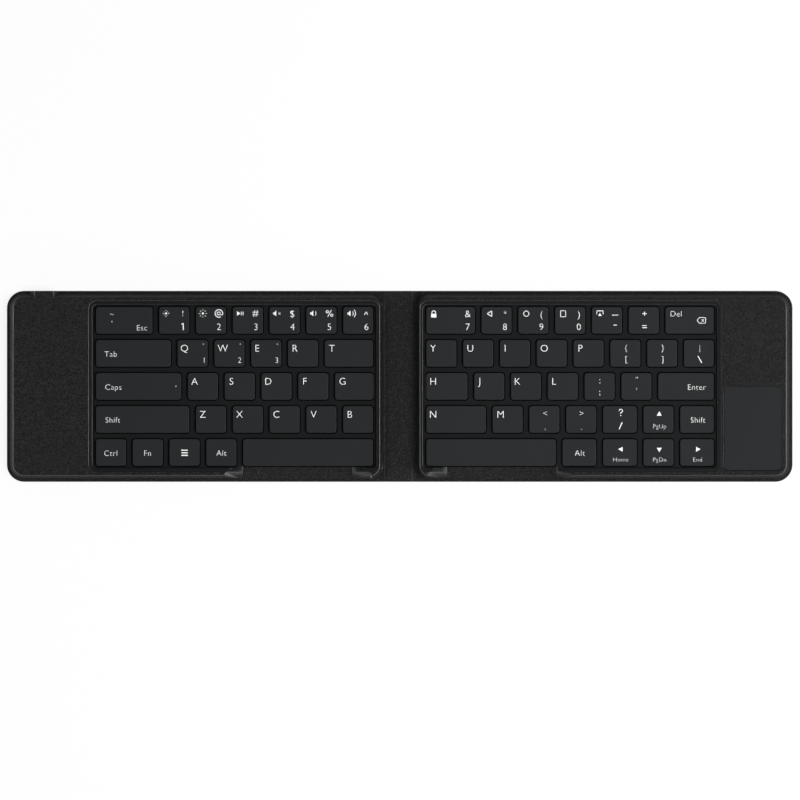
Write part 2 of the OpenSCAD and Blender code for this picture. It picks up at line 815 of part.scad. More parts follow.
left_cover_skin();
left_deck_skin();
left_base_tray();
left_top_frame();
left_backplate();
left_membrane();
left_scissors();
left_domes();
main_board();
battery();
usb_c_port();
left_magnets();
esc_key();
keys_1_to_6();
tab_key();
keys_q_to_r();
key_t();
caps_key();
keys_a_to_f();
key_g();
left_shift_key();
keys_z_to_b();
ctrl_key();
fn_key();
menu_key();
left_alt_key();
left_space_bar();
spine_cover_skin();
spine_inner_skin();
spine_boards();
ribbon_cable();
right_cover_skin();
right_deck_skin();
right_base_tray();
right_top_frame();
right_backplate();
right_membrane();
right_scissors();
right_domes();
touchpad();
touchpad_board();
touchpad_cable();
right_magnets();
key_7();
keys_8_to_equals();
backspace_key();
keys_y_to_backslash();
key_h();
keys_j_to_quote();
enter_key();
key_n();
keys_m_to_period();
slash_key();
up_key();
right_shift_key();
right_space_bar();
right_alt_key();
left_arrow_key();
down_arrow_key();
right_arrow_key();
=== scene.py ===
# Folding keyboard: two stiff halves in one leather wrap, joined by a leather spine that
# bends along two creases. Metres. The open keyboard lies flat on z = 0, the origin is under
# the middle of the spine, +X runs to the user's right and +Y away from the user.
import math
import bmesh
import bpy
from mathutils import Matrix, Vector


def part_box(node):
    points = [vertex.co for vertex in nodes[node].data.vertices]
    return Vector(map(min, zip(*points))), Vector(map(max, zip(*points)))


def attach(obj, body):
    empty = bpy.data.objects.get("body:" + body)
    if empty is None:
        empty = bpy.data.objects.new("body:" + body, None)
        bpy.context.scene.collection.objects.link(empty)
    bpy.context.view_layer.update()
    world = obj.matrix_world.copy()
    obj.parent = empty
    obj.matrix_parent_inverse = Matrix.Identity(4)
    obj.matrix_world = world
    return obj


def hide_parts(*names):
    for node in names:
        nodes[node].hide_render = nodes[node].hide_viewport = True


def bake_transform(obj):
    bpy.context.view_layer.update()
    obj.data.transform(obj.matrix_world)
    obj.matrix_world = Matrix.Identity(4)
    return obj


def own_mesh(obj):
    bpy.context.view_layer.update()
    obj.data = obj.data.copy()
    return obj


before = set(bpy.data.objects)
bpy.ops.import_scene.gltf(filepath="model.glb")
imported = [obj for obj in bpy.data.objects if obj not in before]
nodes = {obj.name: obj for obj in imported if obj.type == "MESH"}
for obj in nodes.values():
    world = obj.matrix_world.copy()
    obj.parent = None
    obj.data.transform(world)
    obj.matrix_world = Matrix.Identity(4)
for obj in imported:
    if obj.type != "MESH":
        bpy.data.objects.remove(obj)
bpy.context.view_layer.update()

MM = 0.001

# ---------------------------------------------------------------- table and studio
# A pale table top, a soft lamp high over its right, low lamps at the right and the front,
# and a card at each end that throws light on the rims. The camera looks straight down from
# so high up that the view has next to no perspective.

scene = bpy.context.scene
scene.view_settings.view_transform = "Standard"


def studio_lamp(name, place, aim, size, watts):
    """A rectangular soft lamp that faces the point it aims at."""
    lamp = bpy.data.lights.new(name, "AREA")
    lamp.shape = "RECTANGLE"
    lamp.size, lamp.size_y = size
    lamp.energy = watts
    holder = bpy.data.objects.new(name, lamp)
    scene.collection.objects.link(holder)
    holder.location = place
    holder.rotation_euler = (Vector(aim) - Vector(place)).to_track_quat("-Z", "Y").to_euler()


studio_lamp("lamp_over", place=(0.6, -0.2, 1.0), aim=(0, 0, 0), size=(0.5, 0.5), watts=11.5)
studio_lamp("lamp_right", place=(1.2, -0.25, 0.12), aim=(0.05, 0, 0), size=(0.9, 0.15), watts=13.0)
studio_lamp("lamp_front", place=(0.3, -1.2, 0.12), aim=(0, 0, 0), size=(1.2, 0.15), watts=1.7)
card_height = 0.004
for name, end, watts in (("card_left", -1, 0.54), ("card_right", 1, 0.18)):
    studio_lamp(name, place=(end * 0.33, 0, card_height), aim=(end * 0.17, 0, card_height),
                size=(0.3, 0.006), watts=watts)


def math_node(tree, operation, second=None):
    """A Math node, with a constant in its second socket if one is given."""
    node = tree.nodes.new("ShaderNodeMath")
    node.operation = operation
    if second is not None:
        node.inputs[1].default_value = second
    return node


def white_for(tree, dim, white, out):
    """Shows white to the camera and in reflections, and dim to all other rays."""
    ray = tree.nodes.new("ShaderNodeLightPath")
    glossy = math_node(tree, "MAXIMUM")
    clear = math_node(tree, "MAXIMUM")
    pick = tree.nodes.new("ShaderNodeMixShader")
    tree.links.new(ray.outputs["Is Camera Ray"], glossy.inputs[0])
    tree.links.new(ray.outputs["Is Glossy Ray"], glossy.inputs[1])
    tree.links.new(glossy.outputs["Value"], clear.inputs[0])
    tree.links.new(ray.outputs["Is Transmission Ray"], clear.inputs[1])
    tree.links.new(clear.outputs["Value"], pick.inputs["Fac"])
    tree.links.new(dim.outputs[0], pick.inputs[1])
    tree.links.new(white.outputs[0], pick.inputs[2])
    tree.links.new(pick.outputs["Shader"], out.inputs["Surface"])


air_light = 0.42
world = bpy.data.worlds.new("studio_air")
world.use_nodes = True
scene.world = world
tree = world.node_tree
tree.nodes.clear()
seen = tree.nodes.new("ShaderNodeBackground")
seen.inputs["Color"].default_value = (1, 1, 1, 1)
air = tree.nodes.new("ShaderNodeBackground")
air.inputs["Color"].default_value = (1, 1, 1, 1)
air.inputs["Strength"].default_value = air_light
white_for(tree, air, seen, tree.nodes.new("ShaderNodeOutputWorld"))

table_half = 4.0
table_drop = 0.1 * MM
table_light = 0.5
table_glow = 0.85
table = bpy.data.meshes.new("table_top")
bm = bmesh.new()
bmesh.ops.create_grid(bm, x_segments=1, y_segments=1, size=table_half)
bmesh.ops.translate(bm, verts=bm.verts, vec=(0, 0, -table_drop))
bm.to_mesh(table)
bm.free()
table_top = bpy.data.objects.new("table_top", table)
scene.collection.objects.link(table_top)
paper = bpy.data.materials.new("white_table")
paper.use_nodes = True
tree = paper.node_tree
tree.nodes.clear()
bounce = tree.nodes.new("ShaderNodeEmission")
bounce.inputs["Strength"].default_value = table_light
lit = tree.nodes.new("ShaderNodeBsdfDiffuse")
lit.inputs["Color"].default_value = (0.9, 0.9, 0.9, 1)
glow = tree.nodes.new("ShaderNodeEmission")
glow.inputs["Strength"].default_value = 1.0
keep_shadow = tree.nodes.new("ShaderNodeMixShader")
keep_shadow.inputs["Fac"].default_value = table_glow
tree.links.new(lit.outputs["BSDF"], keep_shadow.inputs[1])
tree.links.new(glow.outputs["Emission"], keep_shadow.inputs[2])
white_for(tree, bounce, keep_shadow, tree.nodes.new("ShaderNodeOutputMaterial"))
table.materials.append(paper)

camera = bpy.data.cameras.new("camera")
camera.lens = 900
camera.sensor_width = 36
camera.clip_end = 50
eye = bpy.data.objects.new("camera", camera)
scene.collection.objects.link(eye)
view_width = 347.85 * MM
view_middle = Vector((0.13, -5.94, 6.0)) * MM
eye.location = view_middle + Vector((0, 0, view_width * camera.lens / camera.sensor_width))
scene.camera = eye

# ---------------------------------------------------------------- base trays
# Each half stands on a shallow black tray, injection moulded in ABS with a fine spark
# texture. It carries every inner part and is bonded between the two leather skins.


def spark_texture():
    """The fine skin that a spark-eroded mould gives, and a slow drift of tone over a piece."""
    group = bpy.data.node_groups.new("spark_texture", "ShaderNodeTree")
    group.interface.new_socket("Size", in_out="INPUT", socket_type="NodeSocketFloat")
    group.interface.new_socket("Height", in_out="OUTPUT", socket_type="NodeSocketFloat")
    group.interface.new_socket("Wear", in_out="OUTPUT", socket_type="NodeSocketFloat")
    start = group.nodes.new("NodeGroupInput")
    end = group.nodes.new("NodeGroupOutput")
    place = group.nodes.new("ShaderNodeTexCoord")
    fine = group.nodes.new("ShaderNodeTexNoise")
    fine.inputs["Detail"].default_value = 3
    fine.inputs["Roughness"].default_value = 0.6
    broad = group.nodes.new("ShaderNodeTexNoise")
    broad.inputs["Scale"].default_value = 45
    broad.inputs["Detail"].default_value = 2
    group.links.new(place.outputs["Object"], fine.inputs["Vector"])
    group.links.new(start.outputs["Size"], fine.inputs["Scale"])
    group.links.new(place.outputs["Object"], broad.inputs["Vector"])
    group.links.new(fine.outputs["Fac"], end.inputs["Height"])
    group.links.new(broad.outputs["Fac"], end.inputs["Wear"])
    return group


SPARK = spark_texture()
shine_drift = 0.05
skin_relief = 0.02 * MM


def moulded(name, color, shine, size=2600, depth=0.25, spread=0.12, specular=0.35, metal=0.0):
    """A plastic or metal whose colour and roughness drift a little and whose skin has a fine
    texture of the given size and depth."""
    material = bpy.data.materials.new(name)
    material.use_nodes = True
    tree = material.node_tree
    shader = tree.nodes["Principled BSDF"]
    shader.inputs["Specular IOR Level"].default_value = specular
    shader.inputs["Metallic"].default_value = metal
    skin = tree.nodes.new("ShaderNodeGroup")
    skin.node_tree = SPARK
    skin.inputs["Size"].default_value = size
    tone = tree.nodes.new("ShaderNodeMix")
    tone.data_type = "RGBA"
    tone.inputs["A"].default_value = (*[c * (1 - spread) for c in color], 1)
    tone.inputs["B"].default_value = (*[c * (1 + spread) for c in color], 1)
    rough = tree.nodes.new("ShaderNodeMapRange")
    rough.inputs["To Min"].default_value = shine - shine_drift
    rough.inputs["To Max"].default_value = shine + shine_drift
    bump = tree.nodes.new("ShaderNodeBump")
    bump.inputs["Strength"].default_value = depth
    bump.inputs["Distance"].default_value = skin_relief
    tree.links.new(skin.outputs["Wear"], tone.inputs["Factor"])
    tree.links.new(skin.outputs["Wear"], rough.inputs["Value"])
    tree.links.new(tone.outputs["Result"], shader.inputs["Base Color"])
    tree.links.new(rough.outputs["Result"], shader.inputs["Roughness"])
    tree.links.new(skin.outputs["Height"], bump.inputs["Height"])
    tree.links.new(bump.outputs["Normal"], shader.inputs["Normal"])
    return material


def finish_node(name, material):
    """Gives a CAD node its material and leaves its mesh as it is."""
    mesh = nodes[name].data
    mesh.materials.clear()
    mesh.materials.append(material)


tray_plastic = moulded("tray_plastic", (0.012, 0.012, 0.013), 0.55)
for side in ("left", "right"):
    finish_node(side + "_base_tray", tray_plastic)

# ---------------------------------------------------------------- backplates and membranes
# A stamped steel sheet stiffens each key block. On it lies the printed three-layer
# polyester membrane that the keys close, with a tail to the board it serves.

sheet_steel = moulded("sheet_steel", (0.5, 0.51, 0.52), 0.38, size=900, depth=0.1, spread=0.05,
                      metal=1.0)
# Painted shade: the membrane film is painted near black, darker than the black plastics, for the
# shade in the gaps between the caps.
film_painted_dark = moulded("film_painted_dark", (0.004, 0.0043, 0.004), 0.5, size=300, depth=0.05,
                       specular=0.03)
for side in ("left", "right"):
    finish_node(side + "_backplate", sheet_steel)
    finish_node(side + "_membrane", film_painted_dark)

# ---------------------------------------------------------------- electronics
# The left half holds the main board and a lithium pouch cell, the right half the
# touchpad's sensor board. Magnets behind the outer edges hold the closed halves together.

solder_mask = moulded("solder_mask", (0.012, 0.05, 0.022), 0.3, size=700, depth=0.1)
pouch_foil = moulded("pouch_foil", (0.5, 0.51, 0.53), 0.35, size=120, depth=0.4, metal=1.0)
nickel = moulded("nickel", (0.6, 0.58, 0.54), 0.2, size=500, depth=0.05, spread=0.03, metal=1.0)
for name in ("main_board", "touchpad_board"):
    finish_node(name, solder_mask)
finish_node("battery", pouch_foil)
finish_node("touchpad_cable", film_painted_dark)
for side in ("left", "right"):
    finish_node(side + "_magnets", nickel)

# ---------------------------------------------------------------- charging port
# A drawn steel USB-C shell with rolled edges, soldered in a notch of the main board. The
# black tongue in it carries twelve gold-plated contacts on each face.


def shaped(name, bm, body, material, replaced=(), sharp=32, weighted=True):
    """Makes an object of a finished bmesh and lets it ride on its body. Edges sharper than
    the given angle, in degrees, stay hard."""
    bmesh.ops.recalc_face_normals(bm, faces=bm.faces)
    for face in bm.faces:
        face.smooth = True
    for edge in bm.edges:
        edge.smooth = edge.calc_face_angle(0.0) < math.radians(sharp)
    mesh = bpy.data.meshes.new(name)
    bm.to_mesh(mesh)
    bm.free()
    piece = bpy.data.objects.new(name, mesh)
    scene.collection.objects.link(piece)
    mesh.materials.append(material)
    if weighted:
        normals = piece.modifiers.new("flat_faces", "WEIGHTED_NORMAL")
        normals.keep_sharp = True
    if body:
        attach(piece, body)
    if replaced:
        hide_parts(*replaced)
    return piece


def box_of(bm, low, high):
    """A closed box between two corners; returns its vertices."""
    low, high = Vector(low), Vector(high)
    place = Matrix.Translation((low + high) / 2) @ Matrix.Diagonal((*(high - low), 1))
    return bmesh.ops.create_cube(bm, size=1, matrix=place)["verts"]


def bevel(bm, edges, width, segments):
    """Rounds edges off."""
    bmesh.ops.bevel(bm, geom=edges, offset=width, offset_type="OFFSET", segments=segments,
                    profile=0.5, affect="EDGES", clamp_overlap=False, material=-1)


def edges_along(verts, axis):
    """The edges of a box that run along one axis."""
    found = {edge for vert in verts for edge in vert.link_edges}
    return [e for e in found if abs((e.verts[0].co - e.verts[1].co).normalized()[axis]) > 0.99]


port_low, port_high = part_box("usb_c_port")
port_middle = (port_low + port_high) / 2
port_round = 0.49 * (port_high.z - port_low.z)
port_wall = 0.3 * MM
port_depth = 6.2 * MM
port_lip = 0.08 * MM
on_the_rim = 0.01 * MM
bm = bmesh.new()
shell = box_of(bm, port_low, port_high)
bevel(bm, edges_along(shell, 1), port_round, segments=8)
bmesh.ops.recalc_face_normals(bm, faces=bm.faces)
mouth = max(bm.faces, key=lambda f: f.normal.y)
bmesh.ops.inset_region(bm, faces=[mouth], thickness=port_wall, use_even_offset=True)
inner = bmesh.ops.extrude_discrete_faces(bm, faces=[mouth])["faces"]
bmesh.ops.translate(bm, verts=inner[0].verts, vec=(0, -port_depth, 0))
rim = [e for e in bm.edges if min(v.co.y for v in e.verts) > port_high.y - on_the_rim]
bevel(bm, rim, port_lip, segments=2)
shaped("usb_shell", bm, "left_half", nickel, ["usb_c_port"])

tongue_plastic = moulded("tongue_plastic", (0.01, 0.01, 0.01), 0.4)
gold = moulded("gold_contacts", (0.75, 0.52, 0.2), 0.25, size=400, depth=0.02, spread=0.03,
               metal=1.0)
tongue_start = port_low.y + 1.05 * MM
tongue_end = port_high.y - 1.2 * MM
tongue_half = Vector((3.35, 0, 0.35)) * MM
bm = bmesh.new()
tongue = box_of(bm, (port_middle.x - tongue_half.x, tongue_start, port_middle.z - tongue_half.z),
                (port_middle.x + tongue_half.x, tongue_end, port_middle.z + tongue_half.z))
bevel(bm, edges_along(tongue, 1), 0.12 * MM, segments=2)
shaped("usb_tongue", bm, "left_half", tongue_plastic)
contact_count = 12
contact_pitch = 0.5 * MM
contact_half = Vector((0.12, 0, 0.02)) * MM
contact_level = 0.36 * MM
contact_start, contact_end = tongue_end - 3.2 * MM, tongue_end - 0.5 * MM
bm = bmesh.new()
for face in (-1, 1):
    for i in range(contact_count):
        x = port_middle.x + (i - (contact_count - 1) / 2) * contact_pitch
        z = port_middle.z + face * contact_level
        box_of(bm, (x - contact_half.x, contact_start, z - contact_half.z),
               (x + contact_half.x, contact_end, z + contact_half.z))
shaped("usb_contacts", bm, "left_half", gold)

# ---------------------------------------------------------------- top frames
# The frame that the keys drop into: moulded in black plastic, with a web of wells between
# the caps, a sunk moat round them and a ledge that the leather is turned over.


weld = 0.002 * MM
flat_angle = math.radians(0.5)


def merged(name):
    """A copy of a CAD node with shared corners and undivided flat faces."""
    bm = bmesh.new()
    bm.from_mesh(nodes[name].data)
    bmesh.ops.remove_doubles(bm, verts=bm.verts, dist=weld)
    bmesh.ops.dissolve_limit(bm, angle_limit=flat_angle, verts=bm.verts, edges=bm.edges)
    return bm


def smooth_range(group, low, high, at_low=0.0, at_high=1.0):
    """A soft step from one value to another while the input runs from low to high."""
    step = group.nodes.new("ShaderNodeMapRange")
    step.interpolation_type = "SMOOTHSTEP"
    step.inputs["From Min"].default_value = low
    step.inputs["From Max"].default_value = high
    step.inputs["To Min"].default_value = at_low
    step.inputs["To Max"].default_value = at_high
    return step


def painted_highlight_mask():
    """The mask of a painted highlight: white where a surface is rounded off, black on level
    tops and upright walls. It is strongest on edges that face the ends, weaker on those that
    face the front and faint on those that face away from the user, as the lamps fall."""
    group = bpy.data.node_groups.new("painted_highlight_mask", "ShaderNodeTree")
    group.interface.new_socket("Edge", in_out="OUTPUT", socket_type="NodeSocketFloat")
    end = group.nodes.new("NodeGroupOutput")
    place = group.nodes.new("ShaderNodeTexCoord")
    facing = group.nodes.new("ShaderNodeSeparateXYZ")
    upright = math_node(group, "ABSOLUTE")
    rounded = smooth_range(group, 0.95, 0.7)
    steep = smooth_range(group, 0.3, 0.6)
    both = math_node(group, "MULTIPLY")
    front_lit = smooth_range(group, 0.1, 0.5, at_low=1.0, at_high=0.05)
    sideways = math_node(group, "ABSOLUTE")
    ends = smooth_range(group, 0.0, 0.35, at_low=0.6)
    lit_share = math_node(group, "MULTIPLY")
    lit_edge = math_node(group, "MULTIPLY")
    group.links.new(place.outputs["Normal"], facing.inputs["Vector"])
    group.links.new(facing.outputs["Y"], front_lit.inputs["Value"])
    group.links.new(facing.outputs["X"], sideways.inputs[0])
    group.links.new(sideways.outputs["Value"], ends.inputs["Value"])
    group.links.new(front_lit.outputs["Result"], lit_share.inputs[0])
    group.links.new(ends.outputs["Result"], lit_share.inputs[1])
    group.links.new(facing.outputs["Z"], upright.inputs[0])
    group.links.new(upright.outputs["Value"], rounded.inputs["Value"])
    group.links.new(upright.outputs["Value"], steep.inputs["Value"])
    group.links.new(rounded.outputs["Result"], both.inputs[0])
    group.links.new(steep.outputs["Result"], both.inputs[1])
    group.links.new(both.outputs["Value"], lit_edge.inputs[0])
    group.links.new(lit_share.outputs["Value"], lit_edge.inputs[1])
    group.links.new(lit_edge.outputs["Value"], end.inputs["Edge"])
    return group


EDGES = painted_highlight_mask()


def highlight_and_gloss_edges(material, color, coat_roughness=0):
    """Paints a highlight on the rounded edges of a material by lightening their colour, and makes
    them shinier with a coat if a roughness is given.
    """
    tree = material.node_tree
    shader = tree.nodes["Principled BSDF"]
    edges = tree.nodes.new("ShaderNodeGroup")
    edges.node_tree = EDGES
    highlighted = tree.nodes.new("ShaderNodeMix")
    highlighted.data_type = "RGBA"
    highlighted.inputs["B"].default_value = (*color, 1)
    tree.links.new(shader.inputs["Base Color"].links[0].from_socket, highlighted.inputs["A"])
    tree.links.new(edges.outputs["Edge"], highlighted.inputs["Factor"])
    tree.links.new(highlighted.outputs["Result"], shader.inputs["Base Color"])
    if coat_roughness:
        shader.inputs["Coat Roughness"].default_value = coat_roughness
        tree.links.new(edges.outputs["Edge"], shader.inputs["Coat Weight"])


frame_plastic = moulded("frame_plastic", (0.0071, 0.0076, 0.0082), 0.42, specular=0.05)
# Painted highlight: the frame's rounded rims are painted much lighter, and given a coat.
highlight_and_gloss_edges(frame_plastic, (0.1, 0.101, 0.103), coat_roughness=0.3)
for side in ("left", "right"):
    name = side + "_top_frame"
    shaped(side + "_key_frame", merged(name), side + "_half", frame_plastic,
           [name], sharp=50)

# ---------------------------------------------------------------- keys
# Chiclet caps moulded in black ABS: flat tops with a fine matte skin, a small round edge,
# walls that lean in slightly, and hollow undersides over the switches.

# Half, node, and the number of like caps in it.
KEYS = [
    ("left", "esc_key", 1), ("left", "keys_1_to_6", 6), ("left", "tab_key", 1),
    ("left", "keys_q_to_r", 4), ("left", "key_t", 1), ("left", "caps_key", 1),
    ("left", "keys_a_to_f", 4), ("left", "key_g", 1), ("left", "left_shift_key", 1),
    ("left", "keys_z_to_b", 5), ("left", "ctrl_key", 1), ("left", "fn_key", 1),
    ("left", "menu_key", 1), ("left", "left_alt_key", 1), ("left", "left_space_bar", 1),
    ("right", "key_7", 1), ("right", "keys_8_to_equals", 5), ("right", "backspace_key", 1),
    ("right", "keys_y_to_backslash", 8), ("right", "key_h", 1), ("right", "keys_j_to_quote", 5),
    ("right", "enter_key", 1), ("right", "key_n", 1), ("right", "keys_m_to_period", 3),
    ("right", "slash_key", 1), ("right", "up_key", 1), ("right", "right_shift_key", 1),
    ("right", "right_space_bar", 1), ("right", "right_alt_key", 1), ("right", "left_arrow_key", 1),
    ("right", "down_arrow_key", 1), ("right", "right_arrow_key", 1),
]
key_plastic = moulded("key_plastic", (0.0128, 0.0146, 0.0158), 0.5, size=3200, depth=0.3,
                      specular=0.08)
# Painted highlight: the rounded edges of the caps are painted lighter.
highlight_and_gloss_edges(key_plastic, (0.026, 0.0288, 0.0305))
key_pitch = 16.0 * MM
cap_corner = 1.2 * MM
cap_lean = 0.03 * MM
cap_edge = 0.18 * MM
cap_wall = 0.8 * MM
cap_roof = 0.9 * MM


def cap_boxes(name, count):
    """The box of each cap of a key node, from left to right."""
    low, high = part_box(name)
    width = high.x - low.x - (count - 1) * key_pitch
    return [(Vector((low.x + i * key_pitch, low.y, low.z)),
             Vector((low.x + i * key_pitch + width, high.y, high.z))) for i in range(count)]


def cap_shape(bm, low, high):
    """Adds a hollow cap that fills a box."""
    part = bmesh.new()
    verts = box_of(part, low, high)
    bevel(part, edges_along(verts, 2), cap_corner, segments=6)
    bmesh.ops.recalc_face_normals(part, faces=part.faces)
    top = max(part.faces, key=lambda f: f.normal.z)
    middle = (low + high) / 2
    size = high - low
    shrink = Vector(((size.x - 2 * cap_lean) / size.x, (size.y - 2 * cap_lean) / size.y, 1))
    bmesh.ops.scale(part, vec=shrink, space=Matrix.Translation(-middle), verts=top.verts)
    under = min(part.faces, key=lambda f: f.normal.z)
    bmesh.ops.inset_region(part, faces=[under], thickness=cap_wall, use_even_offset=True)
    hollow = bmesh.ops.extrude_discrete_faces(part, faces=[under])["faces"][0]
    bmesh.ops.translate(part, verts=hollow.verts, vec=(0, 0, high.z - cap_roof - low.z))
    bevel(part, list(top.edges), cap_edge, segments=4)
    mesh = bpy.data.meshes.new("cap")
    part.to_mesh(mesh)
    part.free()
    bm.from_mesh(mesh)
    bpy.data.meshes.remove(mesh)


for side, name, count in KEYS:
    bm = bmesh.new()
    for low, high in cap_boxes(name, count):
        cap_shape(bm, low, high)
    shaped(name + "_caps", bm, name + "_body", key_plastic, [name])

# ---------------------------------------------------------------- switches
# Under each cap two crossed nylon links turn on pins in their middle and keep the cap
# level, and a silicone dome pushes it back up. They lie flat when the cap is down.

link_plastic = moulded("link_plastic", (0.006, 0.006, 0.0064), 0.45, specular=0.08)
silicone = moulded("silicone", (0.015, 0.015, 0.0155), 0.5, specular=0.1)
# The CAD node's ending, the material and the slot of each kind of part.
SWITCH_PARTS = [("scissors", link_plastic, "link_plastic"), ("domes", silicone, "rubber")]
stood_for = set()
for side, name, count in KEYS:
    low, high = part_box(name)
    for part, material, slot in SWITCH_PARTS:
        node = side + "_" + part
        bm = bmesh.new()
        bm.from_mesh(nodes[node].data)
        away = [v for v in bm.verts
                if not (low.x < v.co.x < high.x and low.y < v.co.y < high.y)]
        bmesh.ops.delete(bm, geom=away, context="VERTS")
        bmesh.ops.remove_doubles(bm, verts=bm.verts, dist=weld)
        piece = shaped(name + "_" + part, bm, side + "_half", material,
                       [] if node in stood_for else [node], weighted=False)
        stood_for.add(node)
        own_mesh(piece)

# ---------------------------------------------------------------- leather wrap
# One sheet of black pebble-grained leather under the keyboard and one over it, formed hot
# over the frames, pressed flat together in a hem all round and trimmed.

sway_reach = 0.7 * MM
broad_share = 0.15


def pebble_grain():
    """Rounded pebbles with grit on them and valleys between, each pebble a little lighter or
    darker and higher or lower than the next."""
    group = bpy.data.node_groups.new("pebble_grain", "ShaderNodeTree")
    group.interface.new_socket("Pebbles", in_out="INPUT", socket_type="NodeSocketFloat")
    for name in ("Height", "Tone", "Valley"):
        group.interface.new_socket(name, in_out="OUTPUT", socket_type="NodeSocketFloat")
    start = group.nodes.new("NodeGroupInput")
    end = group.nodes.new("NodeGroupOutput")
    place = group.nodes.new("ShaderNodeTexCoord")
    sway = group.nodes.new("ShaderNodeTexNoise")
    sway.inputs["Scale"].default_value = 700
    sway.inputs["Detail"].default_value = 1
    bend = group.nodes.new("ShaderNodeVectorMath")
    bend.operation = "SCALE"
    bend.inputs["Scale"].default_value = sway_reach
    moved = group.nodes.new("ShaderNodeVectorMath")
    moved.operation = "ADD"
    cells = group.nodes.new("ShaderNodeTexVoronoi")
    cells.feature = "DISTANCE_TO_EDGE"
    rounding = smooth_range(group, 0.0, 0.3)
    grit = group.nodes.new("ShaderNodeTexNoise")
    grit.inputs["Scale"].default_value = 5200
    grit.inputs["Detail"].default_value = 2
    weigh = math_node(group, "MULTIPLY_ADD", 0.25)
    each = group.nodes.new("ShaderNodeTexVoronoi")
    for voronoi in (cells, each):
        voronoi.inputs["Randomness"].default_value = 0.7
    shade = group.nodes.new("ShaderNodeSeparateColor")
    broad = group.nodes.new("ShaderNodeTexNoise")
    broad.inputs["Scale"].default_value = 60
    broad.inputs["Detail"].default_value = 3
    apart = smooth_range(group, 0.15, 0.85)
    blend = math_node(group, "MULTIPLY_ADD", 1 - broad_share)
    less = math_node(group, "MULTIPLY", broad_share)
    lift = math_node(group, "MULTIPLY_ADD", 0.6)
    links = group.links
    links.new(place.outputs["Object"], sway.inputs["Vector"])
    links.new(sway.outputs["Color"], bend.inputs[0])
    links.new(place.outputs["Object"], moved.inputs[0])
    links.new(bend.outputs["Vector"], moved.inputs[1])
    links.new(moved.outputs["Vector"], cells.inputs["Vector"])
    links.new(start.outputs["Pebbles"], cells.inputs["Scale"])
    links.new(cells.outputs["Distance"], rounding.inputs["Value"])
    links.new(place.outputs["Object"], grit.inputs["Vector"])
    links.new(place.outputs["Object"], broad.inputs["Vector"])
    links.new(grit.outputs["Fac"], weigh.inputs[0])
    links.new(rounding.outputs["Result"], weigh.inputs[2])
    links.new(moved.outputs["Vector"], each.inputs["Vector"])
    links.new(start.outputs["Pebbles"], each.inputs["Scale"])
    links.new(each.outputs["Color"], shade.inputs["Color"])
    links.new(shade.outputs["Red"], lift.inputs[0])
    links.new(weigh.outputs["Value"], lift.inputs[2])
    links.new(lift.outputs["Value"], end.inputs["Height"])
    links.new(broad.outputs["Fac"], less.inputs[0])
    links.new(shade.outputs["Green"], apart.inputs["Value"])
    links.new(apart.outputs["Result"], blend.inputs[0])
    links.new(less.outputs["Value"], blend.inputs[2])
    links.new(blend.outputs["Value"], end.inputs["Tone"])
    links.new(rounding.outputs["Result"], end.inputs["Valley"])
    return group


PEBBLES = pebble_grain()
# Painted shade: the valleys between the pebbles are painted at this share of the colour.
valley_shade = 0.22
dark_pebble = 0.9
light_pebble = 2.0
grain_relief = 0.22 * MM


def leather(name, color, shine, highlight_gain, pebbles=1600, depth=1.0):
    """A grained leather with this many pebbles to the metre. Its rounded edges get a painted
    highlight: their colour is lifted by the given factor."""
    material = bpy.data.materials.new(name)
    material.use_nodes = True
    tree = material.node_tree
    shader = tree.nodes["Principled BSDF"]
    shader.inputs["Specular IOR Level"].default_value = 0.09
    grain = tree.nodes.new("ShaderNodeGroup")
    grain.node_tree = PEBBLES
    grain.inputs["Pebbles"].default_value = pebbles
    tone = tree.nodes.new("ShaderNodeMix")
    tone.data_type = "RGBA"
    tone.inputs["A"].default_value = (*[c * dark_pebble for c in color], 1)
    tone.inputs["B"].default_value = (*[c * light_pebble for c in color], 1)
    valley_darkening = tree.nodes.new("ShaderNodeMix")
    valley_darkening.data_type = "RGBA"
    valley_darkening.inputs["A"].default_value = (*[c * valley_shade for c in color], 1)
    rough = tree.nodes.new("ShaderNodeMapRange")
    rough.inputs["To Min"].default_value = shine + 0.15
    rough.inputs["To Max"].default_value = shine - 0.02
    bump = tree.nodes.new("ShaderNodeBump")
    bump.inputs["Strength"].default_value = depth
    bump.inputs["Distance"].default_value = grain_relief
    tree.links.new(grain.outputs["Tone"], tone.inputs["Factor"])
    tree.links.new(grain.outputs["Valley"], valley_darkening.inputs["Factor"])
    tree.links.new(tone.outputs["Result"], valley_darkening.inputs["B"])
    tree.links.new(valley_darkening.outputs["Result"], shader.inputs["Base Color"])
    tree.links.new(grain.outputs["Valley"], rough.inputs["Value"])
    tree.links.new(rough.outputs["Result"], shader.inputs["Roughness"])
    tree.links.new(grain.outputs["Height"], bump.inputs["Height"])
    tree.links.new(bump.outputs["Normal"], shader.inputs["Normal"])
    highlight_and_gloss_edges(material, [c * highlight_gain for c in color], coat_roughness=0.34)
    return material


# Painted highlight on the leather's rounded crests and rims, their colour lifted 6.4 times.
black_leather = leather("black_leather", (0.0146, 0.0146, 0.0146), 0.46, highlight_gain=6.4)
skin = 0.5 * MM
hem_top = 2 * skin
seam_x = 7.0 * MM
outer_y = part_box("left_cover_skin")[1].y
near_table = 0.01 * MM
foot_round = 0.2 * MM


def cut_at(bm, x, sign, keep_both=False):
    """Cuts a shape across X. What lies nearer the spine is dropped and the cut closed, or
    both sides are kept."""
    bmesh.ops.bisect_plane(bm, geom=bm.verts[:] + bm.edges[:] + bm.faces[:],
                           plane_co=(sign * x, 0, 0), plane_no=(sign, 0, 0),
                           clear_inner=not keep_both)
    if not keep_both:
        bmesh.ops.holes_fill(bm, edges=[e for e in bm.edges if e.is_boundary], sides=0)


